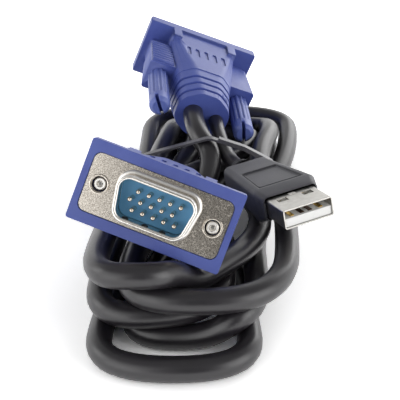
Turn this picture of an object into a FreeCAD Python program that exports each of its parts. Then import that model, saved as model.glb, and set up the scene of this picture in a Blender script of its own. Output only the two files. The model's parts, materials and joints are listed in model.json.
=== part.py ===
"""Keyboard, video and mouse cable: a tied hank of round cable with a fifteen-pin video plug at each
end, and a thin second lead from the computer-end hood to a flat four-contact data plug.

Millimetres, +Z up, the hank lying on the plane z = 0. Each plug is modelled in its own frame, with
X to the right as one faces the plug, Y up and Z out of its mouth, and is then set in place.
"""

import FreeCAD, Part
import math
import os

Vector = FreeCAD.Vector

# Fits
MOULD_GAP = 0.05  # between pieces that are assembled and then moulded over
RUNNING_GAP = 0.08  # radial, between a screw's shank and its bore
TIE_GAP = 0.55  # between the strands and the tie round them

# Video plug: moulded hood, measured back from the face of its rim
SCREW_SPACING = 25.0
RIM_PAST_SCREW = 4.4  # from each screw's axis to the rim's end
RIM_HEIGHT = 17.6
RIM_DEPTH = 3.0
RIM_CORNER = 0.6
WINDOW_PAST_SCREW = 2.95  # from each screw's axis to the window's end
WINDOW_HEIGHT = 12.9
WINDOW_CORNER = 1.7
WINDOW_LIP = 0.3  # the flange lies this far below the rim's face
BODY_WIDTH = 19.8
BODY_HEIGHT = 16.0
BODY_BEVEL = 1.4
BODY_ROUND = 1.2
BODY_END = 24.4
TAIL_PAST_KNOB = 1.2  # between the body's rear end and each knob
TAIL_HEIGHT = 15.6
TAIL_SIDE_BEVEL = 4.2
TAIL_TOP_BEVEL = 3.0
TAIL_ROUND = 4.0
SHOULDER_WIDTH = 2.5  # blocks at the body's front corners, level with the rim
SHOULDER_END = 7.8
MARK_COUNT = 5  # sunk bars across each broad face
MARK_PITCH = 2.7
MARK_WIDTH = 1.2
MARK_LENGTH = 5.0
MARK_CORNER = 0.5
MARK_DEPTH = 0.4
MARK_PLACE = 14.0
NECK_STEP = 0.2  # the neck lies this far below the body's rear end, all round
NECK_END = 37.0
NECK_END_WIDTH = 15.0
NECK_END_HEIGHT = 13.2
NECK_END_SIDE_BEVEL = 5.0
NECK_END_TOP_BEVEL = 3.4
NECK_END_ROUND = 4.6
GROOVE_COUNT = 3
GROOVE_START = 27.6
GROOVE_PITCH = 3.15
GROOVE_WIDTH = 1.1
GROOVE_DEPTH = 0.8

# Video plug: ears that carry the screws
EAR_HEIGHT = 9.0
EAR_ROOT = 1.0  # how far the ear reaches into the body
EAR_WALL = 3.6  # from the screw's axis to the ear's outer face, at its rear
EAR_FLARE = 1.0  # the ear's outer face leans out this much on its way back
EAR_CORNER = 0.8
EAR_START = 7.0
EAR_END = 21.3
EAR_STEM_HEIGHT = 6.4  # between the rim and the ear
RIDGE_COUNT = 8
RIDGE_PITCH = 1.55
RIDGE_WIDTH = 1.2
RIDGE_HEIGHT = 0.65
RIDGE_FRONT = 8.6
RIDGE_LENGTH = 6.4

# Video plug: metal shells, insulator, pins and inner mould
FLANGE_THICK = 0.8
NOSE_WIDTH = 17.7  # outside
NOSE_HEIGHT = 9.2
NOSE_LENGTH = 5.9
NOSE_CORNER = 2.6
NOSE_SLANT = 10.0  # degrees
NOSE_FILLET = 0.9
SHELL_WALL = 0.4
SCREW_HOLE_RADIUS = 1.65
BACK_FLANGE_RING = 0.55  # of metal outside each screw hole
BACK_FLANGE_HEIGHT = 11.0
BACK_FLANGE_THICK = 0.6
BACK_CUP_WIDTH = 17.8
BACK_CUP_HEIGHT = 9.7
BACK_CUP_DEPTH = 5.0
PIN_ROWS = 3
PINS_IN_ROW = 5
PIN_PITCH = 2.29
PIN_ROW_PITCH = 1.98
PIN_RADIUS = 0.42
PIN_LENGTH = 4.6  # in front of the insulator
PIN_TIP = 0.3
INNER_MOULD_WIDTH = 16.0
INNER_MOULD_HEIGHT = 10.6
INNER_MOULD_CORNER = 2.0
INNER_MOULD_LENGTH = 11.0

# Video plug: thumbscrews
THREAD_RADIUS = 1.3
THREAD_LENGTH = 6.0
THREAD_CHAMFER = 0.35
SCREW_REACH = 5.0  # the tip stands this far out of the rim's face when screwed home
SHANK_RADIUS = 1.0
SHANK_IN_KNOB = 12.0
CHAMBER_END = 8.0  # the wide bore for the thread ends here
KNOB_RADIUS = 2.9
KNOB_LENGTH = 18.0
KNOB_CHAMFER = 0.9
KNOB_SLOT_WIDTH = 0.9
KNOB_SLOT_DEPTH = 2.6
FLUTE_COUNT = 12
FLUTE_RADIUS = 0.5
FLUTE_DEPTH = 0.3
FLUTE_LENGTH = 13.5

# Data plug, measured back from its mouth
DATA_SHELL_WIDTH = 12.0
DATA_SHELL_HEIGHT = 4.5
DATA_SHELL_WALL = 0.3
DATA_SHELL_CORNER = 0.5
DATA_SHELL_OUT = 8.8  # bare length in front of the grip
DATA_SHELL_IN = 6.2  # length inside the grip
DATA_WINDOW_WIDTH = 2.5
DATA_WINDOW_LENGTH = 1.9
DATA_WINDOW_SPACING = 6.2
DATA_WINDOW_PLACE = 6.3
TONGUE_HEIGHT = 1.95
TONGUE_RECESS = 0.4
TONGUE_ROOT = 9.2  # behind this the insulator fills the shell
CONTACT_WIDTH = 1.0
CONTACT_THICK = 0.2
CONTACT_RECESS = 1.2
CONTACT_PLACES = (-3.5, -1.0, 1.0, 3.5)
GRIP_WIDTH = 15.7
GRIP_HEIGHT = 8.0
GRIP_CORNER = 1.6
GRIP_NOSE_WIDTH = 13.8
GRIP_NOSE_HEIGHT = 5.8
GRIP_SLOPE = 3.2  # length of the slope between the front face and the full section
GRIP_LENGTH = 26.8
GRIP_END_WIDTH = 12.0
GRIP_END_HEIGHT = 6.0
REST_DEPTH = 0.4  # thumb rest sunk in the top
REST_MARGIN = 2.3
REST_FRONT = 4.4  # from the grip's front face
REST_LENGTH = 13.0
RELIEF_LENGTH = 5.0
RELIEF_RADIUS = 2.6
RELIEF_END_RADIUS = 2.3
RELIEF_RING_COUNT = 2
RELIEF_RING_PITCH = 2.0
RELIEF_RING_WIDTH = 1.0
RELIEF_RING_RADIUS = 2.9
DATA_MOULD_WIDTH = 9.6
DATA_MOULD_HEIGHT = 3.8
DATA_MOULD_LENGTH = 9.0

# Cables and tie
CABLE_DIAMETER = 5.6
DATA_LEAD_DIAMETER = 4.0
CABLE_AT_NECK = 2.6  # the main cable leaves the computer-end neck this far to one side
DATA_LEAD_AT_NECK = -4.2  # and the data lead this far to the other
ARC_SHARE = 0.45  # of the shorter run, taken by each bend
TIE_WIDTH = 1.6
TIE_THICK = 0.6
TIE_TAIL_SIDE = 5.0  # the tie's end lies doubled to the right of this
TIE_TAIL_LEVEL = 11.2  # and above this

# Places in the layout: x across the hank, y from its front loop towards the back, z up
LAYOUT_CENTRE = Vector(0.966, 63.918, 0.0)
SWITCH_PLACE = Vector(-9.11, 17.62, 30.71)
SWITCH_TURN = (-4.0, 23.0, 19.25)  # azimuth and elevation of the mouth, and roll, in degrees
SWITCH_SCREWS_BACK = (6.2, 5.4)  # how far the left and right screws are drawn back
SWITCH_SLOTS = (-35.0, 12.0)  # the left and right knobs' slots, turned from upright in degrees
COMPUTER_PLACE = Vector(-2.1, 124.6, 22.9)
COMPUTER_TURN = (184.0, 4.8, -22.0)
COMPUTER_SCREWS_BACK = (0.4, 0.4)
COMPUTER_SLOTS = (-24.0, -37.0)
DATA_PLACE = Vector(23.9, 28.3, 22.95)
DATA_TURN = (20.5, 11.2, -6.8)
TIE_PLANE = 72.0

# Route of the main cable through the hank, chosen by hand, from the computer end
COMPUTER_LEAD_OUT = 10.0
COMPUTER_LEAD = [
    (3.4, 72.0, 15.85), (1.6, 62.0, 11.45), (-2.0, 54.0, 6.8),
]
HANK = [
    # third turn at the near end, then the widest at the far end
    (0.6, 42.0, 7.7), (5.2, 30.0, 8.7), (5.4, 19.0, 8.7), (-2.0, 10.2, 8.7), (-21.9, 9.6, 8.75),
    (-21.8, 28.0, 9.4), (-19.75, 50.0, 6.35), (-15.6, 72.0, 6.2), (-14.6, 92.0, 7.2),
    (-14.4, 117.0, 7.6), (26.2, 117.0, 7.6), (26.2, 96.0, 7.0), (18.2, 72.0, 3.9), (13.5, 50.0, 3.0),
    # fourth turn, low at the near end, then the inner one at the far end
    (12.6, 28.0, 8.4), (12.3, 15.2, 8.8), (8.0, 9.0, 8.6), (0.7, 9.8, 2.8), (-14.5, 10.9, 2.8),
    (-14.2, 24.0, 2.8), (-6.4, 50.0, 3.0), (-3.4, 72.0, 3.9), (-3.0, 90.0, 2.8), (-3.0, 104.5, 2.8),
    (12.8, 104.5, 2.8), (12.4, 92.0, 2.8), (2.6, 72.0, 3.9), (5.6, 50.0, 3.0),
    # front turn, flat on the ground
    (10.2, 20.0, 2.8), (10.9, -0.4, 2.8), (-21.6, -0.4, 2.8), (-21.2, 20.0, 2.8), (-14.8, 50.0, 2.95),
    (-9.5, 72.0, 3.9), (-9.5, 92.0, 2.8), (-9.5, 113.5, 2.8), (20.5, 113.5, 2.8), (20.5, 96.0, 2.8),
    (16.0, 85.0, 5.6), (8.0, 72.0, 8.7), (14.6, 57.0, 9.0),
    # top turn, which passes under the switch-end plug
    (14.6, 41.0, 11.9), (10.6, 28.0, 14.3), (4.4, 20.2, 14.5), (-1.2, 14.5, 14.4), (-5.2, 10.9, 18.78),
    (-9.6, 6.2, 21.0), (-21.8, 7.4, 20.4), (-21.8, 28.0, 16.8), (-20.7, 47.0, 12.3),
    (-14.0, 61.0, 11.9), (-12.2, 72.0, 12.2), (-8.4, 95.0, 11.8), (-7.6, 108.5, 7.4),
    (19.2, 108.5, 7.4), (20.6, 97.0, 11.4), (16.9, 84.0, 12.0), (15.3, 72.0, 10.6), (21.0, 56.0, 9.6),
    # second turn, and the smallest at the far end
    (20.3, 36.0, 12.4), (18.5, 17.0, 13.8), (9.0, 7.1, 14.0), (-15.0, 7.2, 14.4),
    (-15.0, 26.0, 14.2), (-10.4, 50.0, 7.0), (-7.15, 72.0, 9.15), (-1.6, 92.0, 8.75),
    (-1.6, 100.8, 8.5), (14.9, 100.8, 8.5), (14.9, 91.6, 8.55),
]
SWITCH_LEAD = [
    (-1.2, 72.0, 10.35), (-5.4, 62.0, 14.2),
]
SWITCH_LEAD_OUT = 6.0
DATA_LEAD_OUT = 8.0
DATA_LEAD_IN = 6.0

# Strands on the outside of the bundle where the tie goes round it, anticlockwise as (x, z)
TIE_STRANDS = [
    (-9.9, 4.1), (18.5, 4.1), (16.0, 10.7), (10.0, 14.1), (2.4, 16.8), (-12.6, 12.4), (-15.9, 6.5),
]


def rounded_outline(points, radius):
    """Closed wire in the XY plane through straight sides and corner arcs of one radius."""
    corners = [Vector(x, y, 0) for x, y in points]
    edges = []
    starts = []
    ends = []
    count = len(corners)
    for index, corner in enumerate(corners):
        before = (corners[index - 1] - corner).normalize()
        after = (corners[(index + 1) % count] - corner).normalize()
        half = before.getAngle(after) / 2
        setback = radius / math.tan(half)
        middle = corner + (before + after).normalize() * (radius / math.sin(half) - radius)
        starts.append(corner + before * setback)
        ends.append(corner + after * setback)
        edges.append(Part.Arc(starts[-1], middle, ends[-1]).toShape())
    for index in range(count):
        following = starts[(index + 1) % count]
        if ends[index].distanceToPoint(following) > 1e-6:
            edges.append(Part.LineSegment(ends[index], following).toShape())
    return Part.Wire(Part.__sortEdges__(edges))


def rectangle(width, height, corner):
    """Rounded rectangle about the plug's axis."""
    x, y = width / 2, height / 2
    return rounded_outline([(x, -y), (x, y), (-x, y), (-x, -y)], corner)


def bevelled(width, height, side_bevel, top_bevel, corner):
    """Rectangle with bevelled and rounded corners: the hood's body and neck."""
    x, y = width / 2, height / 2
    quarter = [(x, y - top_bevel), (x - side_bevel, y)]
    upper = quarter + [(-px, py) for px, py in reversed(quarter)]
    lower = [(-px, -py) for px, py in upper]
    return rounded_outline(upper + lower, corner)


def d_outline(width, height, corner):
    """D-shaped outline of the plug's nose, with its wide side up."""
    x, y = width / 2, height / 2
    narrow = x - height * math.tan(math.radians(NOSE_SLANT))
    return rounded_outline([(narrow, -y), (x, y), (-x, y), (-narrow, -y)], corner)


def prism(wire, front, back):
    """Solid of one section between two distances behind the plug's face."""
    face = Part.Face(wire)
    face.translate(Vector(0, 0, -back))
    return face.extrude(Vector(0, 0, back - front))


def blend(front_wire, front, back_wire, back):
    """Ruled solid from one section to another."""
    first = front_wire.copy()
    first.translate(Vector(0, 0, -front))
    last = back_wire.copy()
    last.translate(Vector(0, 0, -back))
    return Part.makeLoft([last, first], True, True)


def rod(radius, front, back, x=0.0, y=0.0):
    """Cylinder along the plug's axis between two distances behind its face."""
    return Part.makeCylinder(radius, back - front, Vector(x, y, -back), Vector(0, 0, 1))


def turned(profile, x=0.0, y=0.0):
    """Solid turned about the plug's axis from (radius, distance behind the face) points."""
    points = [Vector(radius, 0, -back) for radius, back in profile]
    face = Part.Face(Part.makePolygon(points + points[:1]))
    solid = face.revolve(Vector(), Vector(0, 0, 1), 360)
    solid.translate(Vector(x, y, 0))
    return solid


def screw_places():
    """Left and right screw axes as one faces the plug."""
    return (-SCREW_SPACING / 2, SCREW_SPACING / 2)


def rim_width():
    """Width that carries the rim past both screws."""
    return SCREW_SPACING + 2 * RIM_PAST_SCREW


def window_width():
    """Width that carries the window past both screws."""
    return SCREW_SPACING + 2 * WINDOW_PAST_SCREW


def tail_width():
    """Width of the body's rear end, between the two knobs."""
    return SCREW_SPACING - 2 * (KNOB_RADIUS + TAIL_PAST_KNOB)


def neck_sections(inset):
    """First and last sections of the tapered neck, this far below its skin."""
    first_inset = NECK_STEP + inset
    first = bevelled(
        tail_width() - 2 * first_inset, TAIL_HEIGHT - 2 * first_inset,
        TAIL_SIDE_BEVEL - first_inset, TAIL_TOP_BEVEL - first_inset, TAIL_ROUND - first_inset,
    )
    last = bevelled(
        NECK_END_WIDTH - 2 * inset, NECK_END_HEIGHT - 2 * inset,
        NECK_END_SIDE_BEVEL - inset, NECK_END_TOP_BEVEL - inset, NECK_END_ROUND - inset,
    )
    return first, last


def flange_face():
    """Distance of the flange's front behind the rim's face."""
    return WINDOW_LIP


def flange_back():
    return flange_face() + FLANGE_THICK


def back_flange_back():
    return flange_back() + BACK_FLANGE_THICK


def cup_back():
    return back_flange_back() + BACK_CUP_DEPTH


def back_flange_width():
    """Width that leaves a ring of metal round both screw holes."""
    return SCREW_SPACING + 2 * (SCREW_HOLE_RADIUS + BACK_FLANGE_RING)


def ear_outline(reach, height):
    """Section of an ear, from inside the body out to its reach."""
    inner = tail_width() / 2 - EAR_ROOT
    y = height / 2
    return rounded_outline([(inner, -y), (reach, -y), (reach, y), (inner, y)], EAR_CORNER)


def ear(side):
    """One ear of the hood, with its stem behind the rim."""
    outer = SCREW_SPACING / 2 + EAR_WALL
    front = ear_outline(outer - EAR_FLARE, EAR_HEIGHT)
    solid = blend(front, EAR_START, ear_outline(outer, EAR_HEIGHT), EAR_END)
    stem = ear_outline(outer - EAR_FLARE, EAR_STEM_HEIGHT)
    solid = solid.fuse(prism(stem, RIM_DEPTH, EAR_START))
    if side < 0:
        solid.rotate(Vector(), Vector(0, 0, 1), 180)
    return solid


def ear_ridges(side):
    """Comb of grip ridges on the top of the right ear, and under the left one."""
    x_start = SCREW_SPACING / 2 - RIDGE_LENGTH / 2
    y = EAR_HEIGHT / 2
    points = [Vector(x_start, y - RIDGE_HEIGHT, -RIDGE_FRONT)]
    for index in range(RIDGE_COUNT):
        near = RIDGE_FRONT + index * RIDGE_PITCH
        points.append(Vector(x_start, y, -near))
        points.append(Vector(x_start, y + RIDGE_HEIGHT, -near - RIDGE_WIDTH / 2))
        points.append(Vector(x_start, y, -near - RIDGE_WIDTH))
    points.append(points[-1] - Vector(0, RIDGE_HEIGHT, 0))
    comb = Part.Face(Part.makePolygon(points + points[:1])).extrude(Vector(RIDGE_LENGTH, 0, 0))
    if side < 0:
        comb.rotate(Vector(), Vector(0, 0, 1), 180)
    return comb


def shoulders():
    """Four blocks behind the rim and level with it, which frame the head of each broad face."""
    low = BODY_HEIGHT / 2 - BODY_BEVEL
    block = Part.makeBox(
        SHOULDER_WIDTH, RIM_HEIGHT / 2 - low, SHOULDER_END - RIM_DEPTH,
        Vector(BODY_WIDTH / 2 - SHOULDER_WIDTH, low, -SHOULDER_END),
    )
    pair = [block, block.mirror(Vector(), Vector(1, 0, 0))]
    return pair + [shoulder.mirror(Vector(), Vector(0, 1, 0)) for shoulder in pair]


def sunk_marks():
    """Row of sunk bars across both broad faces, as cutting solids."""
    bars = []
    for index in range(MARK_COUNT):
        face = Part.Face(rectangle(MARK_WIDTH, MARK_LENGTH, MARK_CORNER))
        face.rotate(Vector(), Vector(1, 0, 0), 90)
        x = (index - (MARK_COUNT - 1) / 2) * MARK_PITCH
        face.translate(Vector(x, BODY_HEIGHT / 2 - MARK_DEPTH, -MARK_PLACE))
        bar = face.extrude(Vector(0, 2 * MARK_DEPTH, 0))
        bars.append(bar)
        bars.append(bar.mirror(Vector(), Vector(0, 1, 0)))
    return bars


def hood():
    """Moulded hood: rim, body, shoulders and ringed neck, two ears, and the room inside them."""
    body_section = bevelled(BODY_WIDTH, BODY_HEIGHT, BODY_BEVEL, BODY_BEVEL, BODY_ROUND)
    tail_section = bevelled(tail_width(), TAIL_HEIGHT, TAIL_SIDE_BEVEL, TAIL_TOP_BEVEL, TAIL_ROUND)
    solid = prism(rectangle(rim_width(), RIM_HEIGHT, RIM_CORNER), 0, RIM_DEPTH)
    solid = solid.fuse(prism(body_section, RIM_DEPTH, SHOULDER_END))
    solid = solid.fuse(blend(body_section, SHOULDER_END, tail_section, BODY_END))
    first, last = neck_sections(0)
    core_first, core_last = neck_sections(GROOVE_DEPTH)
    neck = blend(first, BODY_END, last, NECK_END)
    core = blend(core_first, BODY_END, core_last, NECK_END)
    for index in range(GROOVE_COUNT):
        front = GROOVE_START + index * GROOVE_PITCH
        slab = prism(rectangle(tail_width(), TAIL_HEIGHT, TAIL_ROUND), front, front + GROOVE_WIDTH)
        neck = neck.cut(slab.cut(core))
    solid = solid.fuse(neck)
    for block in shoulders():
        solid = solid.fuse(block)
    for side in (-1, 1):
        solid = solid.fuse(ear(side))
        solid = solid.fuse(ear_ridges(side))
    room = prism(rectangle(window_width(), WINDOW_HEIGHT, WINDOW_CORNER), 0, flange_back())
    back_seat = rectangle(
        back_flange_width() + 2 * MOULD_GAP, BACK_FLANGE_HEIGHT + 2 * MOULD_GAP, WINDOW_CORNER
    )
    room = room.fuse(prism(back_seat, flange_back(), back_flange_back()))
    cup = d_outline(BACK_CUP_WIDTH + 2 * MOULD_GAP, BACK_CUP_HEIGHT + 2 * MOULD_GAP, NOSE_CORNER)
    room = room.fuse(prism(cup, back_flange_back(), cup_back()))
    pocket = rectangle(
        INNER_MOULD_WIDTH + 2 * MOULD_GAP, INNER_MOULD_HEIGHT + 2 * MOULD_GAP, INNER_MOULD_CORNER
    )
    room = room.fuse(prism(pocket, cup_back(), cup_back() + INNER_MOULD_LENGTH))
    for x in screw_places():
        room = room.fuse(rod(SCREW_HOLE_RADIUS, 0, CHAMBER_END, x))
        room = room.fuse(rod(SHANK_RADIUS + RUNNING_GAP, 0, EAR_END + RIM_DEPTH, x))
    for bar in sunk_marks():
        solid = solid.cut(bar)
    return solid.cut(room).removeSplitter()


def front_shell():
    """Drawn steel shell: flange with two screw holes and a D-shaped nose with a rolled foot."""
    flange = prism(
        rectangle(window_width() - 2 * MOULD_GAP, WINDOW_HEIGHT - 2 * MOULD_GAP, WINDOW_CORNER),
        flange_face(), flange_back(),
    )
    nose = prism(
        d_outline(NOSE_WIDTH, NOSE_HEIGHT, NOSE_CORNER), flange_face() - NOSE_LENGTH, flange_back()
    )
    solid = flange.fuse(nose).removeSplitter()
    foot = [
        edge for edge in solid.Edges
        if abs(edge.BoundBox.ZMin + flange_face()) < 1e-6
        and abs(edge.BoundBox.ZMax + flange_face()) < 1e-6
        and edge.BoundBox.XMax < NOSE_WIDTH / 2 + 1e-6
        and edge.BoundBox.XMin > -NOSE_WIDTH / 2 - 1e-6
        and edge.BoundBox.YMax < NOSE_HEIGHT / 2 + 1e-6
        and edge.BoundBox.YMin > -NOSE_HEIGHT / 2 - 1e-6
    ]
    solid = solid.makeFillet(NOSE_FILLET, foot)
    inside = d_outline(
        NOSE_WIDTH - 2 * SHELL_WALL, NOSE_HEIGHT - 2 * SHELL_WALL, NOSE_CORNER - SHELL_WALL
    )
    solid = solid.cut(prism(inside, flange_face() - NOSE_LENGTH, flange_back()))
    for x in screw_places():
        solid = solid.cut(rod(SCREW_HOLE_RADIUS, flange_face(), flange_back(), x))
    return solid


def back_shell():
    """Rear shell: a flange behind the front one and an open cup round the insulator."""
    solid = prism(
        rectangle(back_flange_width(), BACK_FLANGE_HEIGHT, WINDOW_CORNER),
        flange_back(), back_flange_back(),
    )
    cup = d_outline(BACK_CUP_WIDTH, BACK_CUP_HEIGHT, NOSE_CORNER)
    solid = solid.fuse(prism(cup, back_flange_back(), cup_back()))
    inside = d_outline(
        BACK_CUP_WIDTH - 2 * SHELL_WALL, BACK_CUP_HEIGHT - 2 * SHELL_WALL, NOSE_CORNER - SHELL_WALL
    )
    solid = solid.cut(prism(inside, flange_back(), cup_back()))
    for x in screw_places():
        solid = solid.cut(rod(SCREW_HOLE_RADIUS, flange_back(), back_flange_back(), x))
    return solid


def pin_places():
    """Centres of the pins: three rows, the middle one shifted half a pitch to the left."""
    places = []
    for row in range(PIN_ROWS):
        y = ((PIN_ROWS - 1) / 2 - row) * PIN_ROW_PITCH
        shift = -PIN_PITCH / 4 if row % 2 else PIN_PITCH / 4
        for column in range(PINS_IN_ROW):
            places.append(((column - (PINS_IN_ROW - 1) / 2) * PIN_PITCH + shift, y))
    return places


def insulator():
    """Insulator: a D-shaped front flush with the flange, and a larger back inside the cup."""
    front_inset = SHELL_WALL + MOULD_GAP
    front = d_outline(
        NOSE_WIDTH - 2 * front_inset, NOSE_HEIGHT - 2 * front_inset, NOSE_CORNER - front_inset
    )
    back = d_outline(
        BACK_CUP_WIDTH - 2 * front_inset, BACK_CUP_HEIGHT - 2 * front_inset, NOSE_CORNER - front_inset
    )
    solid = prism(front, flange_face(), flange_back())
    solid = solid.fuse(prism(back, flange_back(), cup_back()))
    for x, y in pin_places():
        solid = solid.cut(rod(PIN_RADIUS, flange_face(), cup_back(), x, y))
    return solid


def pins():
    """Fifteen round pins with tapered tips, as one group."""
    front = flange_face() - PIN_LENGTH
    profile = [
        (0, front), (PIN_RADIUS - PIN_TIP, front), (PIN_RADIUS, front + PIN_TIP),
        (PIN_RADIUS, cup_back()), (0, cup_back()),
    ]
    return Part.makeCompound([turned(profile, x, y) for x, y in pin_places()])


def inner_mould():
    """Block moulded round the soldered wires, inside the hood."""
    section = rectangle(INNER_MOULD_WIDTH, INNER_MOULD_HEIGHT, INNER_MOULD_CORNER)
    return prism(section, cup_back() + MOULD_GAP, cup_back() + INNER_MOULD_LENGTH - MOULD_GAP)


def screw(x, drawn_back):
    """Steel thumbscrew: thread, thinner shank, and the end that the knob is moulded on."""
    tip = drawn_back - SCREW_REACH
    profile = [
        (0, tip), (THREAD_RADIUS - THREAD_CHAMFER, tip), (THREAD_RADIUS, tip + THREAD_CHAMFER),
        (THREAD_RADIUS, tip + THREAD_LENGTH), (SHANK_RADIUS, tip + THREAD_LENGTH),
        (SHANK_RADIUS, EAR_END + drawn_back + SHANK_IN_KNOB),
        (0, EAR_END + drawn_back + SHANK_IN_KNOB),
    ]
    return turned(profile, x)


def knob(x, drawn_back, slot_turn):
    """Fluted knob with a screwdriver slot in its tail."""
    front = EAR_END + drawn_back
    back = front + KNOB_LENGTH
    solid = turned([
        (SHANK_RADIUS, front), (KNOB_RADIUS, front), (KNOB_RADIUS, back - KNOB_CHAMFER),
        (KNOB_RADIUS - KNOB_CHAMFER, back), (0, back), (0, front + SHANK_IN_KNOB),
        (SHANK_RADIUS, front + SHANK_IN_KNOB),
    ])
    centre = KNOB_RADIUS + FLUTE_RADIUS - FLUTE_DEPTH
    for index in range(FLUTE_COUNT):
        angle = 2 * math.pi * (index + 0.5) / FLUTE_COUNT
        flute = rod(
            FLUTE_RADIUS, front, front + FLUTE_LENGTH, centre * math.cos(angle), centre * math.sin(angle)
        )
        solid = solid.cut(flute)
    slot = Part.makeBox(
        KNOB_SLOT_WIDTH, 2 * KNOB_RADIUS, KNOB_SLOT_DEPTH,
        Vector(-KNOB_SLOT_WIDTH / 2, -KNOB_RADIUS, -back),
    )
    slot.rotate(Vector(), Vector(0, 0, 1), slot_turn)
    solid = solid.cut(slot)
    solid.translate(Vector(x, 0, 0))
    return solid


def data_shell():
    """Folded steel shell of the data plug, open at both ends, with two windows above and below."""
    length = DATA_SHELL_OUT + DATA_SHELL_IN
    solid = prism(rectangle(DATA_SHELL_WIDTH, DATA_SHELL_HEIGHT, DATA_SHELL_CORNER), 0, length)
    wall = DATA_SHELL_WALL
    inside = rectangle(
        DATA_SHELL_WIDTH - 2 * wall, DATA_SHELL_HEIGHT - 2 * wall, DATA_SHELL_CORNER - wall
    )
    solid = solid.cut(prism(inside, 0, length))
    for side in (-1, 1):
        corner = Vector(
            side * DATA_WINDOW_SPACING / 2 - DATA_WINDOW_WIDTH / 2, -DATA_SHELL_HEIGHT,
            -DATA_WINDOW_PLACE - DATA_WINDOW_LENGTH / 2,
        )
        window = Part.makeBox(DATA_WINDOW_WIDTH, 2 * DATA_SHELL_HEIGHT, DATA_WINDOW_LENGTH, corner)
        solid = solid.cut(window)
    return solid


def data_inside():
    """Clear width and height inside the data plug's shell, less the moulding gap."""
    inset = DATA_SHELL_WALL + MOULD_GAP
    return DATA_SHELL_WIDTH - 2 * inset, DATA_SHELL_HEIGHT - 2 * inset


def data_insulator():
    """White tongue in the lower half of the shell, and the full block behind it."""
    width, height = data_inside()
    corner = DATA_SHELL_CORNER - DATA_SHELL_WALL - MOULD_GAP
    solid = prism(rectangle(width, height, corner), TONGUE_RECESS, DATA_SHELL_OUT + DATA_SHELL_IN)
    mouth = Part.makeBox(
        DATA_SHELL_WIDTH, DATA_SHELL_HEIGHT, TONGUE_ROOT,
        Vector(-DATA_SHELL_WIDTH / 2, -height / 2 + TONGUE_HEIGHT, -TONGUE_ROOT),
    )
    return solid.cut(mouth)


def data_contacts():
    """Four flat contacts on the tongue, as one group."""
    height = data_inside()[1]
    y = -height / 2 + TONGUE_HEIGHT
    length = TONGUE_ROOT - CONTACT_RECESS
    strips = [
        Part.makeBox(CONTACT_WIDTH, CONTACT_THICK, length, Vector(x - CONTACT_WIDTH / 2, y, -TONGUE_ROOT))
        for x in CONTACT_PLACES
    ]
    return Part.makeCompound(strips)


def grip_end():
    return DATA_SHELL_OUT + GRIP_LENGTH


def relief_end():
    return grip_end() + RELIEF_LENGTH


def grip_width_at(back):
    """Width of the grip's taper at a distance behind the mouth."""
    share = (back - DATA_SHELL_OUT - GRIP_SLOPE) / (GRIP_LENGTH - GRIP_SLOPE)
    return GRIP_WIDTH + share * (GRIP_END_WIDTH - GRIP_WIDTH)


def grip():
    """Moulded grip: sloped front, tapered body with a sunk thumb rest, and ringed strain relief."""
    shoulder = DATA_SHELL_OUT + GRIP_SLOPE
    full = rectangle(GRIP_WIDTH, GRIP_HEIGHT, GRIP_CORNER)
    nose = rectangle(GRIP_NOSE_WIDTH, GRIP_NOSE_HEIGHT, GRIP_CORNER)
    tail = rectangle(GRIP_END_WIDTH, GRIP_END_HEIGHT, GRIP_CORNER)
    body = blend(full, shoulder, tail, grip_end())
    body = body.cut(thumb_rest(body))
    solid = body.fuse(blend(nose, DATA_SHELL_OUT, full, shoulder))
    relief = Part.makeCone(
        RELIEF_END_RADIUS, RELIEF_RADIUS, RELIEF_LENGTH, Vector(0, 0, -relief_end()), Vector(0, 0, 1)
    )
    solid = solid.fuse(relief)
    for index in range(RELIEF_RING_COUNT):
        front = grip_end() + index * RELIEF_RING_PITCH
        solid = solid.fuse(rod(RELIEF_RING_RADIUS, front, front + RELIEF_RING_WIDTH))
    shell_end = DATA_SHELL_OUT + DATA_SHELL_IN
    socket = prism(
        rectangle(DATA_SHELL_WIDTH + 2 * MOULD_GAP, DATA_SHELL_HEIGHT + 2 * MOULD_GAP, DATA_SHELL_CORNER),
        DATA_SHELL_OUT, shell_end,
    )
    pocket = prism(
        rectangle(DATA_MOULD_WIDTH + 2 * MOULD_GAP, DATA_MOULD_HEIGHT + 2 * MOULD_GAP, DATA_SHELL_CORNER),
        shell_end, shell_end + DATA_MOULD_LENGTH,
    )
    return solid.cut(socket).cut(pocket)


def thumb_rest(body):
    """Shallow rest in the grip's top, sunk to one depth below its slope."""
    front = DATA_SHELL_OUT + REST_FRONT
    back = front + REST_LENGTH
    x_front = grip_width_at(front) / 2 - REST_MARGIN
    x_back = grip_width_at(back) / 2 - REST_MARGIN
    points = [
        Vector(-x_front, 0, -front), Vector(x_front, 0, -front),
        Vector(x_back, 0, -back), Vector(-x_back, 0, -back),
    ]
    block = Part.Face(Part.makePolygon(points + points[:1])).extrude(Vector(0, GRIP_HEIGHT, 0))
    lowered = body.copy()
    lowered.translate(Vector(0, -REST_DEPTH, 0))
    return body.cut(lowered).common(block)


def data_inner_mould():
    """Block moulded round the soldered wires, inside the grip."""
    start = DATA_SHELL_OUT + DATA_SHELL_IN
    section = rectangle(DATA_MOULD_WIDTH, DATA_MOULD_HEIGHT, DATA_SHELL_CORNER)
    return prism(section, start + MOULD_GAP, start + DATA_MOULD_LENGTH - MOULD_GAP)


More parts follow.
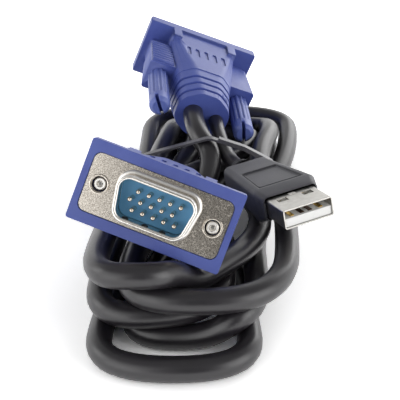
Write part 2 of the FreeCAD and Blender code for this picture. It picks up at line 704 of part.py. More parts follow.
def plug_placement(place, turn):
    """Placement of a plug whose mouth faces an azimuth and elevation, rolled about its axis."""
    azimuth, elevation, roll = (math.radians(angle) for angle in turn)
    out = Vector(
        math.sin(azimuth) * math.cos(elevation), -math.cos(azimuth) * math.cos(elevation),
        math.sin(elevation),
    )
    level = Vector(0, 0, 1).cross(out).normalize()
    upright = out.cross(level)
    right = level * math.cos(roll) - upright * math.sin(roll)
    up = out.cross(right)
    at = place - LAYOUT_CENTRE
    return FreeCAD.Placement(FreeCAD.Matrix(
        right.x, up.x, out.x, at.x, right.y, up.y, out.y, at.y, right.z, up.z, out.z, at.z, 0, 0, 0, 1
    ))


def in_layout(points):
    """Route points moved from the layout to the part's own origin."""
    return [Vector(*point) - LAYOUT_CENTRE for point in points]


def cable_path(points, label):
    """Straight runs and tangent arcs along a route, as (kind, values) steps; prints the radii."""
    steps = []
    radii = []
    at = points[0]
    for before, corner, after in zip(points, points[1:], points[2:]):
        back = before - corner
        on = after - corner
        setback = ARC_SHARE * min(back.Length, on.Length)
        back.normalize()
        on.normalize()
        turn = math.pi - back.getAngle(on)
        radius = setback / math.tan(turn / 2)
        start = corner + back * setback
        centre = corner + (back + on).normalize() * math.hypot(setback, radius)
        axis = on.cross(back).normalize()
        steps.append(("run", start - at))
        steps.append(("bend", centre, axis, math.degrees(turn), radius))
        radii.append(round(radius, 1))
        at = corner + on * setback
    steps.append(("run", points[-1] - at))
    print(label, "bend radii", radii)
    return steps


def tube(points, diameter, label):
    """Round cable along a route: side faces swept run by run, closed by two end faces."""
    steps = cable_path(points, label)
    heading = (points[1] - points[0]).normalize()
    ring = Part.Edge(Part.Circle(points[0], heading, diameter / 2))
    faces = [Part.Face(Part.Wire(ring))]
    length = 0.0
    for kind, *values in steps:
        if kind == "run":
            faces.append(ring.extrude(values[0]))
            ring = ring.copy()
            ring.translate(values[0])
            length += values[0].Length
        else:
            centre, axis, angle, radius = values
            faces.append(ring.revolve(centre, axis, angle))
            ring = ring.copy()
            ring.rotate(centre, axis, angle)
            length += radius * math.radians(angle)
    faces.append(Part.Face(Part.Wire(ring)))
    shell = Part.Shell(faces)
    shell.sewShape()
    solid = Part.Solid(shell)
    if solid.Volume < 0:
        solid.reverse()
    section = math.pi * diameter ** 2 / 4
    print(label, "length", round(length, 1), "volume over section times length",
          round(solid.Volume / (section * length), 5))
    return solid


def belt(radius):
    """Closed wire in the tie's plane, drawn tight round circles of one radius on the outer strands."""
    edges = []
    count = len(TIE_STRANDS)
    centres = [Vector(x, TIE_PLANE, z) for x, z in TIE_STRANDS]
    sides = []
    for index in range(count):
        along = centres[(index + 1) % count] - centres[index]
        sides.append(Vector(along.z, 0, -along.x).normalize() * radius)
    for index in range(count):
        following = (index + 1) % count
        here, there = centres[index], centres[following]
        out, turned_out = sides[index], sides[following]
        middle = (out + turned_out).normalize() * radius
        edges.append(Part.LineSegment(here + out, there + out).toShape())
        edges.append(Part.Arc(there + out, there + middle, there + turned_out).toShape())
    return Part.Wire(edges)


def twist_tie():
    """Flat tie round the bundle, its end lying doubled on the upper right."""
    radius = CABLE_DIAMETER / 2 + TIE_GAP
    loops = [Part.Face(belt(radius + layer * TIE_THICK)) for layer in range(3)]
    along = Vector(0, TIE_WIDTH, 0)
    inner, middle, outer = (loop.extrude(along) for loop in loops)
    reach = outer.BoundBox
    tail_zone = Part.makeBox(
        reach.XMax - TIE_TAIL_SIDE, TIE_WIDTH, reach.ZMax - TIE_TAIL_LEVEL,
        Vector(TIE_TAIL_SIDE, TIE_PLANE, TIE_TAIL_LEVEL),
    )
    tail = outer.cut(middle).common(tail_zone)
    solid = middle.cut(inner).fuse(tail).removeSplitter()
    solid.translate(LAYOUT_CENTRE * -1 - Vector(0, TIE_WIDTH / 2, 0))
    return solid


def midpoint(first, second):
    return (first + second) * 0.5


def video_plug(prefix, place, turn, screws_back, slots):
    """All pieces of one video plug, by node name."""
    placement = plug_placement(place, turn)
    pieces = {
        "hood": hood(),
        "shell": front_shell(),
        "back_shell": back_shell(),
        "insulator": insulator(),
        "pins": pins(),
        "inner_mould": inner_mould(),
    }
    for side, x, back, slot_turn in zip(("left", "right"), screw_places(), screws_back, slots):
        pieces[side + "_screw"] = screw(x, back)
        pieces[side + "_knob"] = knob(x, back, slot_turn)
    return {prefix + "_" + name: (shape, placement) for name, shape in pieces.items()}


def data_plug():
    """All pieces of the data plug, by node name."""
    placement = plug_placement(DATA_PLACE, DATA_TURN)
    pieces = {
        "data_grip": grip(),
        "data_shell": data_shell(),
        "data_insulator": data_insulator(),
        "data_contacts": data_contacts(),
        "data_inner_mould": data_inner_mould(),
    }
    return {name: (shape, placement) for name, shape in pieces.items()}


def behind(placement, back, x=0.0):
    """Point behind a plug's face, in the part's frame."""
    return placement.multVec(Vector(x, 0, -back))


def cables():
    """The hank, its two leads and the data lead, meeting face to face, and the tie round them."""
    switch = plug_placement(SWITCH_PLACE, SWITCH_TURN)
    computer = plug_placement(COMPUTER_PLACE, COMPUTER_TURN)
    data = plug_placement(DATA_PLACE, DATA_TURN)
    hank = in_layout(HANK)
    computer_lead = [
        behind(computer, NECK_END, CABLE_AT_NECK),
        behind(computer, NECK_END + COMPUTER_LEAD_OUT, CABLE_AT_NECK),
    ] + in_layout(COMPUTER_LEAD)
    switch_lead = in_layout(SWITCH_LEAD) + [
        behind(switch, NECK_END + SWITCH_LEAD_OUT), behind(switch, NECK_END),
    ]
    first_join = midpoint(computer_lead[-1], hank[0])
    last_join = midpoint(hank[-1], switch_lead[0])
    data_lead = [
        behind(computer, NECK_END, DATA_LEAD_AT_NECK),
        behind(computer, NECK_END + DATA_LEAD_OUT, DATA_LEAD_AT_NECK),
        behind(data, relief_end() + DATA_LEAD_IN),
        behind(data, relief_end()),
    ]
    return {
        "computer_lead": tube(computer_lead + [first_join], CABLE_DIAMETER, "computer lead"),
        "cable_hank": tube([first_join] + hank + [last_join], CABLE_DIAMETER, "hank"),
        "switch_lead": tube([last_join] + switch_lead, CABLE_DIAMETER, "switch lead"),
        "data_lead": tube(data_lead, DATA_LEAD_DIAMETER, "data lead"),
        "twist_tie": twist_tie(),
    }


def main():
    os.makedirs("parts", exist_ok=True)
    nodes = {}
    nodes.update(video_plug(
        "switch", SWITCH_PLACE, SWITCH_TURN, SWITCH_SCREWS_BACK, SWITCH_SLOTS
    ))
    nodes.update(video_plug(
        "computer", COMPUTER_PLACE, COMPUTER_TURN, COMPUTER_SCREWS_BACK, COMPUTER_SLOTS
    ))
    nodes.update(data_plug())
    box = FreeCAD.BoundBox()
    for name, (shape, placement) in nodes.items():
        shape.Placement = placement.multiply(shape.Placement)
        shape.exportStep("parts/" + name + ".step")
        box.add(shape.BoundBox)
    for name, shape in cables().items():
        shape.exportStep("parts/" + name + ".step")
        box.add(shape.BoundBox)
    print("overall", box)


main()
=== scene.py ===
"""Looks of a keyboard, video and mouse cable: its cords, finishes and finer pieces, and the studio.

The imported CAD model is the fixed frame. Sizes and places are given in millimetres, as in the CAD
layout, and are turned to metres on the way into Blender.
"""

from __future__ import annotations

import json
import logging
import math
from abc import ABC, abstractmethod
from collections.abc import Callable, Iterable
from dataclasses import dataclass
from enum import Enum

import bpy
from mathutils import Matrix, Vector

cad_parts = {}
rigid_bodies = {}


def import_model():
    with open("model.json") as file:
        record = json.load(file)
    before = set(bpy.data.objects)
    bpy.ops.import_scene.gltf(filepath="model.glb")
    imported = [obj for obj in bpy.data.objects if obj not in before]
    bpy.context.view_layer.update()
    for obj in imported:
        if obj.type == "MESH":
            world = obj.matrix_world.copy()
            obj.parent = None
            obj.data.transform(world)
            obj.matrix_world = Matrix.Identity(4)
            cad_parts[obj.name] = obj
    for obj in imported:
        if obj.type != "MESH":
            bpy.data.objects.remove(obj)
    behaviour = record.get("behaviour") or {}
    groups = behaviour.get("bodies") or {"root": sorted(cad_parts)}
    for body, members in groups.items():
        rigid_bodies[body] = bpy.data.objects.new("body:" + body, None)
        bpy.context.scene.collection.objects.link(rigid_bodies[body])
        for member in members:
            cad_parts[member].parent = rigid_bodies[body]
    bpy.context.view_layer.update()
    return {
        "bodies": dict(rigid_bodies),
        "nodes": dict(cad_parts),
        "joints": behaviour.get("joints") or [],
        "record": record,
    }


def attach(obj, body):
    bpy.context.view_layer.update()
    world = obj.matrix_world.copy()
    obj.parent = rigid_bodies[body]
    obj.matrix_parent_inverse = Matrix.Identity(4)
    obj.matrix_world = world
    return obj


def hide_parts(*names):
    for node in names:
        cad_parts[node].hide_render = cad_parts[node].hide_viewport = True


LOG = logging.getLogger("cable_looks")
CABLE_BODY = "cable"
MM = 0.001
LAYOUT_CENTRE = Vector((0.966, 63.918, 0.0))
NECK_END = 37.0  # from a video plug's rim back to the end of its neck
RELIEF_END = 40.6  # from the data plug's mouth back to the end of its strain relief
DRAWN_BACK = (6.2, 5.4)  # the left and right screws, so that only their tips show in the flange
PUSHED_HOME = (0.4, 0.4)  # the same, so that their threads stand out of the flange

MERGE_DISTANCE = 0.001  # points nearer than this are one point
FLAT_ANGLE = 0.05  # degrees: faces that turn less are one flat face
CURVE_ANGLE = 35.0  # degrees: edges of a new piece that turn less are shaded smooth
EDGE_ANGLE = 38.0  # degrees: edges of a CAD node that turn more are hard
FACING = 0.9  # a face looks along an axis where its normal reaches this far along it
ROUNDING_STEPS = 2
CORNER_SAMPLES = 6

# A Mix node's sockets go by number, because those for numbers and colours share their names.
MIX_FACTOR = 0
MIX_NUMBER_A = 2
MIX_NUMBER_B = 3
MIX_COLOUR_A = 6
MIX_COLOUR_B = 7
MIX_COLOUR_OUT = 2

Point = tuple[float, float, float]
Piece = bpy.types.Object
Socket = bpy.types.NodeSocket


class Side(Enum):
    """The two sides of a video plug, as one faces its pins."""

    LEFT = -1
    RIGHT = 1


class End(Enum):
    """The two video plugs, named for what each one goes into."""

    SWITCH = "switch"
    COMPUTER = "computer"


class FarEnd(Enum):
    """What a cord ends in."""

    CONNECTOR = "connector"
    PLUG = "plug"


class Lay(Enum):
    """How a cord lies."""

    COILED = "coiled"
    LOOSE = "loose"


def in_frame(point: Iterable[float]) -> Vector:
    """Return a layout point, in millimetres, in the part's own frame, in metres."""
    return (Vector(tuple(point)) - LAYOUT_CENTRE) * MM


def linear(colour: str) -> tuple[float, float, float, float]:
    """Turn an sRGB hex colour to linear light, by the numbers of the sRGB standard.

    Args:
        colour: Six hex digits after a hash sign.

    Returns:
        Red, green, blue and a full alpha.
    """
    shares = [int(colour[at:at + 2], 16) / 255 for at in (1, 3, 5)]
    red, green, blue = (
        share / 12.92 if share <= 0.04045 else ((share + 0.055) / 1.055) ** 2.4 for share in shares
    )
    return red, green, blue, 1.0


def per_size(size: float) -> float:
    """Return the texture scale that makes a pattern's features this many millimetres apart."""
    return 1.0 / (size * MM)


def add_node(
    tree: bpy.types.NodeTree,
    kind: str,
    settings: dict[str, object] | None = None,
    values: dict[str | int, object] | None = None,
    links: dict[str | int, Socket] | None = None,
) -> bpy.types.Node:
    """Add a node with its settings, socket values and links.

    Args:
        tree: The node tree it goes into.
        kind: Blender's name for the node type.
        settings: Properties of the node itself.
        values: Values of its input sockets, by name or index.
        links: Output sockets that feed its inputs, by name or index.

    Returns:
        The new node.
    """
    node = tree.nodes.new(kind)
    for name, value in (settings or {}).items():
        setattr(node, name, value)
    for socket, value in (values or {}).items():
        node.inputs[socket].default_value = value
    for socket, source in (links or {}).items():
        tree.links.new(source, node.inputs[socket])
    return node


def empty_tree(owner: bpy.types.Material | bpy.types.World) -> bpy.types.NodeTree:
    """Switch a material or the world to nodes, with none in its tree yet.

    Args:
        owner: The material or the world.

    Returns:
        Its node tree.
    """
    owner.use_nodes = True
    owner.node_tree.nodes.clear()
    return owner.node_tree


@dataclass(frozen=True)
class Finish(ABC):
    """What every surface here has: two tones, a grain, a play of gloss and rounded corners.

    Each kind of finish adds a pattern of its own. Sizes are in millimetres.
    """

    name: str
    main_tone: str
    second_tone: str
    roughness: float
    grain: float
    grain_detail: float
    grain_breakup: float
    relief: float  # how deep the grain is
    bump: float
    edge: float
    gloss_play: float  # how far a pattern takes the roughness down and up
    tone_span: tuple[float, float]  # a pattern's values where the change of tone starts and ends
    tone_change: float  # how far it goes towards the second tone
    speckled: bool  # the grain mixes the tones and the own pattern plays on the gloss, or else the reverse

    @abstractmethod
    def pattern(self) -> tuple[str, dict[str, float]]:
        """Return the node type and the values of the finish's own pattern."""

    @abstractmethod
    def substance(self) -> dict[str, float]:
        """Return the shader's values that tell plastic from metal."""

    def material(self) -> bpy.types.Material:
        """Build the node material.

        Returns:
            The material, new for each piece.
        """
        material = bpy.data.materials.new(self.name)
        tree = empty_tree(material)
        place = add_node(tree, "ShaderNodeTexCoord").outputs["Object"]
        grain = add_node(
            tree, "ShaderNodeTexNoise",
            values={
                "Scale": per_size(self.grain),
                "Detail": self.grain_detail,
                "Roughness": self.grain_breakup,
            },
            links={"Vector": place},
        )
        kind, values = self.pattern()
        pattern = add_node(tree, kind, values=values, links={"Vector": place})
        tones, gloss = (grain, pattern) if self.speckled else (pattern, grain)
        low, high = self.tone_span
        share = add_node(
            tree, "ShaderNodeMapRange",
            values={"From Min": low, "From Max": high, "To Max": self.tone_change},
            links={"Value": tones.outputs[0]},
        )
        tone = add_node(
            tree, "ShaderNodeMix", {"data_type": "RGBA"},
            {MIX_COLOUR_A: linear(self.main_tone), MIX_COLOUR_B: linear(self.second_tone)},
            {MIX_FACTOR: share.outputs[0]},
        )
        dullness = add_node(
            tree, "ShaderNodeMapRange",
            values={"To Min": self.roughness - self.gloss_play, "To Max": self.roughness + self.gloss_play},
            links={"Value": gloss.outputs[0]},
        )
        corner = add_node(tree, "ShaderNodeBevel", {"samples": CORNER_SAMPLES}, {"Radius": self.edge * MM})
        bump = add_node(
            tree, "ShaderNodeBump",
            values={"Strength": self.bump, "Distance": self.relief * MM},
            links={"Height": grain.outputs[0], "Normal": corner.outputs[0]},
        )
        shader = add_node(
            tree, "ShaderNodeBsdfPrincipled",
            values=self.substance(),
            links={
                "Base Color": tone.outputs[MIX_COLOUR_OUT],
                "Roughness": dullness.outputs[0],
                "Normal": bump.outputs[0],
            },
        )
        add_node(tree, "ShaderNodeOutputMaterial", links={"Surface": shader.outputs[0]})
        return material


@dataclass(frozen=True)
class MouldedPlastic(Finish):
    """Moulded or extruded vinyl, or moulded nylon: a dull skin with a fine grain.

    The dye drifts slowly from place to place, and the grain breaks up the highlight.
    """

    grain: float = 0.30  # mould grain, drawn coarser than the real 0.05 mm so that it shows
    grain_detail: float = 2.0
    grain_breakup: float = 0.5
    relief: float = 0.012
    bump: float = 0.6
    edge: float = 0.22  # the mould's corners are this round
    gloss_play: float = 0.08
    tone_span: tuple[float, float] = (0.3, 0.7)
    tone_change: float = 1.0
    speckled: bool = False
    ior: float = 1.50
    drift: float = 7.0  # between clouds of the dye
    drift_detail: float = 4.0
    drift_breakup: float = 0.6

    def pattern(self) -> tuple[str, dict[str, float]]:
        """Return the dye's drift.

        Returns:
            The node type and its values.
        """
        return "ShaderNodeTexNoise", {
            "Scale": per_size(self.drift),
            "Detail": self.drift_detail,
            "Roughness": self.drift_breakup,
        }

    def substance(self) -> dict[str, float]:
        """Return the plastic's refraction."""
        return {"IOR": self.ior}


@dataclass(frozen=True)
class PlatedMetal(Finish):
    """Drawn, turned or stamped metal, mostly plated: a mirror broken up by pits and a speckled grain."""

    grain: float = 0.28  # drawn coarser than the real grain so that it shows
    grain_detail: float = 3.0
    grain_breakup: float = 0.65
    relief: float = 0.010
    bump: float = 0.5
    edge: float = 0.08  # a pressed edge is this round
    gloss_play: float = 0.10
    tone_span: tuple[float, float] = (0.38, 0.66)
    tone_change: float = 0.5
    speckled: bool = True
    pit_spacing: float = 1.6  # in grains

    def pattern(self) -> tuple[str, dict[str, float]]:
        """Return the metal's pits."""
        return "ShaderNodeTexVoronoi", {"Scale": per_size(self.grain * self.pit_spacing)}

    def substance(self) -> dict[str, float]:
        """Return a full metal."""
        return {"Metallic": 1.0}


# The hoods: violet blue with a broad, soft sheen.
HOOD_VINYL = MouldedPlastic("hood_vinyl", "#46549E", "#5261A8", 0.42)
# The knobs: a shade paler than the hoods, so that they stand out from the ears.
KNOB_VINYL = MouldedPlastic("knob_vinyl", "#5160A8", "#6170B4", 0.40)
# The data plug's grip: charcoal, nearly without a highlight of its own; its grey is drawn lighter than the
# dark vinyl, a painted sheen for the light on its top.
GRIP_VINYL_PAINTED_SHEEN = MouldedPlastic("grip_vinyl", "#48484D", "#525257", 0.52, edge=0.4)
# The cable's jacket: near black, with long highlights along its extruded skin.
CABLE_VINYL = MouldedPlastic(
    "cable_vinyl", "#1A181C", "#232025", 0.34, grain=0.5, drift=12.0, relief=0.008, ior=1.65,
)
# The tie's coat: a black strip drawn grey, a painted sheen for its highlights, with a thin bright line
# along its edge.
TIE_VINYL_PAINTED_SHEEN = MouldedPlastic("tie_vinyl", "#4A494D", "#626166", 0.30, edge=0.15)
# The pins' insulator: sky blue, drawn much lighter than its own colour, a painted light that makes up for
# the shade of the shell round it.
BLUE_NYLON_PAINTED_LIGHT = MouldedPlastic("blue_nylon", "#62AEE8", "#72BCF2", 0.42)
# The contacts' tongue: clean white, the palest thing on the cable.
WHITE_NYLON = MouldedPlastic("white_nylon", "#F4F4F1", "#FCFCFA", 0.45)
# The filling inside the hoods and the grip, which hardly shows: dull cream.
INNER_VINYL = MouldedPlastic("inner_vinyl", "#B9B6AC", "#CBC8BE", 0.55)
# The stamped shells: warm grey with a coarse, dark speckle.
NICKEL_PLATE = PlatedMetal("nickel_plate", "#E0D9CE", "#73695F", 0.20, grain=0.22, tone_change=0.8)
# Turned screws and rolled edges: the brightest metal, with soft highlights.
SCREW_STEEL = PlatedMetal("screw_steel", "#F8F6F2", "#DEDAD4", 0.36, grain=0.12, relief=0.004)
# The dimples inside the nose: dark and dull beside the bright lip, a painted shade for the dark they
# mirror.
DIMPLE_PAINTED_SHADE = PlatedMetal("rubbed_steel", "#5F5B57", "#3B3835", 0.40, grain=0.2, relief=0.004)
# The data plug's shell: smooth, pale grey and blurred, with hardly a speckle.
BRIGHT_TIN = PlatedMetal("bright_tin", "#C2C0BB", "#B1AFAB", 0.36, grain=0.8, relief=0.004)
# The pins: warm grey wire, with a small highlight on each dome.
PIN_METAL = PlatedMetal("pin_metal", "#D6CCBD", "#A2988A", 0.22, grain=0.2, relief=0.004)
# The outer contacts: thin yellow gold.
GOLD_FLASH = PlatedMetal("gold_flash", "#E3BC62", "#BE9640", 0.25, grain=0.3)
# The middle contacts: dark brown, a painted shade and painted dark reflection on strips plated like the
# outer ones.
MIDDLE_CONTACT_PAINTED_SHADE = PlatedMetal("dull_bronze", "#5A4332", "#3E2D22", 0.40, grain=0.3)


@dataclass(frozen=True)
class PlugFrame:
    """Where a plug's mouth is and which way it faces, in layout millimetres and degrees."""

    place: Point
    azimuth: float
    elevation: float
    roll: float

    def matrix(self) -> Matrix:
        """Work out the plug's own frame.

        Returns:
            The frame, in metres: X right as one faces the plug, Y up, Z out of the mouth.
        """
        azimuth, elevation, roll = (math.radians(a) for a in (self.azimuth, self.elevation, self.roll))
        out = Vector((
            math.sin(azimuth) * math.cos(elevation),
            -math.cos(azimuth) * math.cos(elevation),
            math.sin(elevation),
        ))
        level = Vector((0, 0, 1)).cross(out).normalized()
        right = level * math.cos(roll) - out.cross(level) * math.sin(roll)
        turn = Matrix((right, out.cross(right), out)).transposed().to_4x4()
        return Matrix.Translation(in_frame(self.place)) @ turn

    def behind(self, back: float, across: float = 0.0) -> Vector:
        """Return the place this far behind the mouth and to the right, in metres."""
        return self.matrix() @ (Vector((across, 0.0, -back)) * MM)


SWITCH_FRAME = PlugFrame((-9.11, 17.62, 30.71), -4.0, 23.0, 19.25)
COMPUTER_FRAME = PlugFrame((-2.1, 124.6, 22.9), 184.0, 4.8, -22.0)
DATA_FRAME = PlugFrame((23.9, 28.3, 22.95), 20.5, 11.2, -6.8)


def add_object(name: str, data: bpy.types.ID) -> Piece:
    """Put a mesh, curve, camera or lamp into the scene, at the origin.

    Args:
        name: The object's name.
        data: What it holds.

    Returns:
        The object.
    """
    piece = bpy.data.objects.new(name, data)
    bpy.context.collection.objects.link(piece)
    return piece


def activate(piece: Piece) -> None:
    """Make a piece the only one selected, and the active one.

    Args:
        piece: The piece to work on.
    """
    bpy.ops.object.select_all(action="DESELECT")
    piece.select_set(True)
    bpy.context.view_layer.objects.active = piece


def take_new(name: str) -> Piece:
    """Name the primitive that was just added, and put its place into its mesh.

    Args:
        name: The piece's name.

    Returns:
        The piece, at the origin.
    """
    piece = bpy.context.object
    piece.name = name
    activate(piece)
    bpy.ops.object.transform_apply(location=True, rotation=True, scale=True)
    return piece


def add_rod(name: str, sides: int, radius: float, top: float, length: float) -> Piece:
    """Add a round rod along a plug's axis, for a turned or drawn piece to start from.

    Args:
        name: The piece's name.
        sides: How many flats stand for its round.
        radius: Its radius, in millimetres.
        top: Where it ends, out of the rim's face.
        length: How far it runs back.

    Returns:
        The rod, in the plug's own frame.
    """
    bpy.ops.object.select_all(action="DESELECT")
    bpy.ops.mesh.primitive_cylinder_add(
        vertices=sides, radius=radius * MM, depth=length * MM,
        location=(0.0, 0.0, (top - length / 2) * MM),
    )
    return take_new(name)


def looks_out(face: bpy.types.MeshPolygon) -> bool:
    """Say whether a face looks out of the plug, along its axis."""
    return face.normal.z > FACING


def edit_faces(piece: Piece, chosen: Callable[[bpy.types.MeshPolygon], bool]) -> None:
    """Enter edit mode with only some faces selected.

    Args:
        piece: The mesh to edit.
        chosen: Says whether a face is one of them.
    """
    activate(piece)
    bpy.ops.object.mode_set(mode="EDIT")
    bpy.ops.mesh.select_mode(type="FACE")
    bpy.ops.mesh.select_all(action="DESELECT")
    bpy.ops.object.mode_set(mode="OBJECT")
    for face in piece.data.polygons:
        face.select = chosen(face)
    bpy.ops.object.mode_set(mode="EDIT")


def join(pieces: list[Piece]) -> Piece:
    """Join pieces into one.

    Args:
        pieces: The pieces, of which the first takes in the others.

    Returns:
        The first one.
    """
    activate(pieces[0])
    for piece in pieces[1:]:
        piece.select_set(True)
    bpy.ops.object.join()
    return pieces[0]


def repeat(first: Piece, places: Iterable[Point]) -> Piece:
    """Copy a modelled piece to each of its places.

    Args:
        first: The piece as modelled, which becomes the group.
        places: How far each copy moves, in millimetres.

    Returns:
        The group of copies, as one piece.
    """
    copies = []
    for place in places:
        copy = add_object(first.name, first.data.copy())
        copy.data.transform(Matrix.Translation(Vector(place) * MM))
        copies.append(copy)
    first.data.clear_geometry()
    return join([first, *copies])


def cut_flat(piece: Piece, place: Point, outward: Point, ring: bool = False) -> None:
    """Cut off what lies behind a plane and close the cut.

    Args:
        piece: The mesh to cut.
        place: A point of the plane, in millimetres.
        outward: The direction of the half that stays.
        ring: Whether the cut has a hole in it, which stays open.
    """
    edit_faces(piece, lambda face: True)
    bpy.ops.mesh.select_mode(type="EDGE")
    bpy.ops.mesh.bisect(
        plane_co=Vector(place) * MM, plane_no=outward, use_fill=not ring, clear_inner=True,
        threshold=MERGE_DISTANCE * MM,
    )
    if ring:
        bpy.ops.mesh.bridge_edge_loops()
    bpy.ops.mesh.select_all(action="SELECT")
    bpy.ops.mesh.normals_make_consistent(inside=False)
    bpy.ops.object.mode_set(mode="OBJECT")


def smooth(piece: Piece, angle: float) -> None:
    """Shade a piece smooth across edges that turn less than an angle in degrees."""
    activate(piece)
    bpy.ops.object.shade_smooth_by_angle(angle=math.radians(angle))


def mount(piece: Piece, frame: PlugFrame, angle: float = CURVE_ANGLE) -> Piece:
    """Carry a piece from its plug's own frame into the part's, and shade it smooth.

    Args:
        piece: The modelled piece.
        frame: The plug's frame.
        angle: The least turn, in degrees, of an edge that stays sharp.

    Returns:
        The piece.
    """
    piece.data.transform(frame.matrix())
    smooth(piece, angle)
    return piece


def soften(node: Piece, name: str, width: float = 0.0) -> Piece:
    """Copy a CAD node, shade its curves smooth and round its hard edges.

    Args:
        node: The CAD node, which stays as it is.
        name: The copy's name.
        width: How far each rounding reaches from its edge, in millimetres, or 0 for none.

    Returns:
        The copy, at the origin.
    """
    piece = add_object(name, node.data.copy())
    activate(piece)
    bpy.ops.object.mode_set(mode="EDIT")
    bpy.ops.mesh.select_all(action="SELECT")
    bpy.ops.mesh.remove_doubles(threshold=MERGE_DISTANCE * MM)
    bpy.ops.mesh.dissolve_limited(angle_limit=math.radians(FLAT_ANGLE))
    bpy.ops.object.mode_set(mode="OBJECT")
    if width:
        rounding = piece.modifiers.new("rounding", "BEVEL")
        rounding.width = width * MM
        rounding.segments = ROUNDING_STEPS
        rounding.limit_method = "ANGLE"
        rounding.angle_limit = math.radians(EDGE_ANGLE)
        rounding.use_clamp_overlap = False
        bpy.ops.object.modifier_apply(modifier=rounding.name)
    smooth(piece, EDGE_ANGLE)
    shading = piece.modifiers.new("flat_faces_lead", "WEIGHTED_NORMAL")
    shading.keep_sharp = True
    bpy.ops.object.modifier_apply(modifier=shading.name)
    return piece


def dress(piece: Piece, finish: Finish) -> None:
    """Give a piece one finish all over."""
    piece.data.materials.clear()
    piece.data.materials.append(finish.material())


def keep(node: Piece, finish: Finish) -> Piece:
    """Dress a CAD node that stays as it is, and report it.

    Args:
        node: The CAD node.
        finish: What its surface is.

    Returns:
        The node.
    """
    dress(node, finish)
    LOG.info("%s: kept, in %s", node.name, finish.name)
    return node


def settle(piece: Piece, slot: str, finish: Finish, *replaced: str, body: str = CABLE_BODY) -> Piece:
    """Dress a finished piece, carry it on a body and report it.

    Args:
        piece: The finished piece, at the origin, with its place in its mesh.
        slot: The record's material slot; not used.
        finish: What its surface is.
        replaced: The CAD nodes that it stands for.
        body: The CAD body that carries it.

    Returns:
        The piece.
    """
    dress(piece, finish)
    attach(piece, body)
    if replaced:
        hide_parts(*replaced)
    LOG.info("%s: %d faces on %s", piece.name, len(piece.data.polygons), body)
    return piece


def reskin(node: Piece, slot: str, finish: Finish, width: float = 0.0, body: str = CABLE_BODY) -> Piece:
    """Replace a CAD node by a softened copy.

    Args:
        node: The CAD node.
        slot: The record's material slot.
        finish: What its surface is.
        width: The rounding's width, in millimetres, or 0 for none.
        body: The CAD body that carries it.

    Returns:
        The copy.
    """
    piece = soften(node, f"{node.name}_skin", width)
    return settle(piece, slot, finish, node.name, body=body)


@dataclass
class Cord(ABC):
    """A round vinyl cord: one smooth spline on its route. Sizes are in millimetres."""

    name: str
    replaced: tuple[str, ...]  # the CAD nodes that it stands for
    far_end: FarEnd
    lay: Lay
    diameter: float
    length: float
    steps: int = 10  # between two control points
    roundness: int = 6

    @abstractmethod
    def route(self) -> list[Vector]:
        """Return the control points from end to end, in metres."""

    def draw(self, route: list[Vector]) -> Piece:
        """Draw the cord.

        Args:
            route: Its control points, in metres.

        Returns:
            The curve object.
        """
        curve = bpy.data.curves.new(self.name, "CURVE")
        curve.dimensions = "3D"
        spline = curve.splines.new("NURBS")
        spline.points.add(len(route) - 1)
        for control, place in zip(spline.points, route):
            control.co = (*place, 1.0)
        spline.order_u = 3
        spline.use_endpoint_u = True
        spline.resolution_u = self.steps
        curve.bevel_depth = self.diameter / 2 * MM
        curve.bevel_resolution = self.roundness
        curve.use_fill_caps = True
        return add_object(self.name, curve)

    def build(self, carried: list[Piece]) -> Piece:
        """Args:
            carried: The pieces of the plug at its far end; not used.

        Returns:
            The cord.
        """
        route = self.route()
        piece = self.draw(route)
        dress(piece, CABLE_VINYL)
        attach(piece, CABLE_BODY)
        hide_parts(*self.replaced)
        LOG.info("%s: %d control points", piece.name, len(route))
        return piece


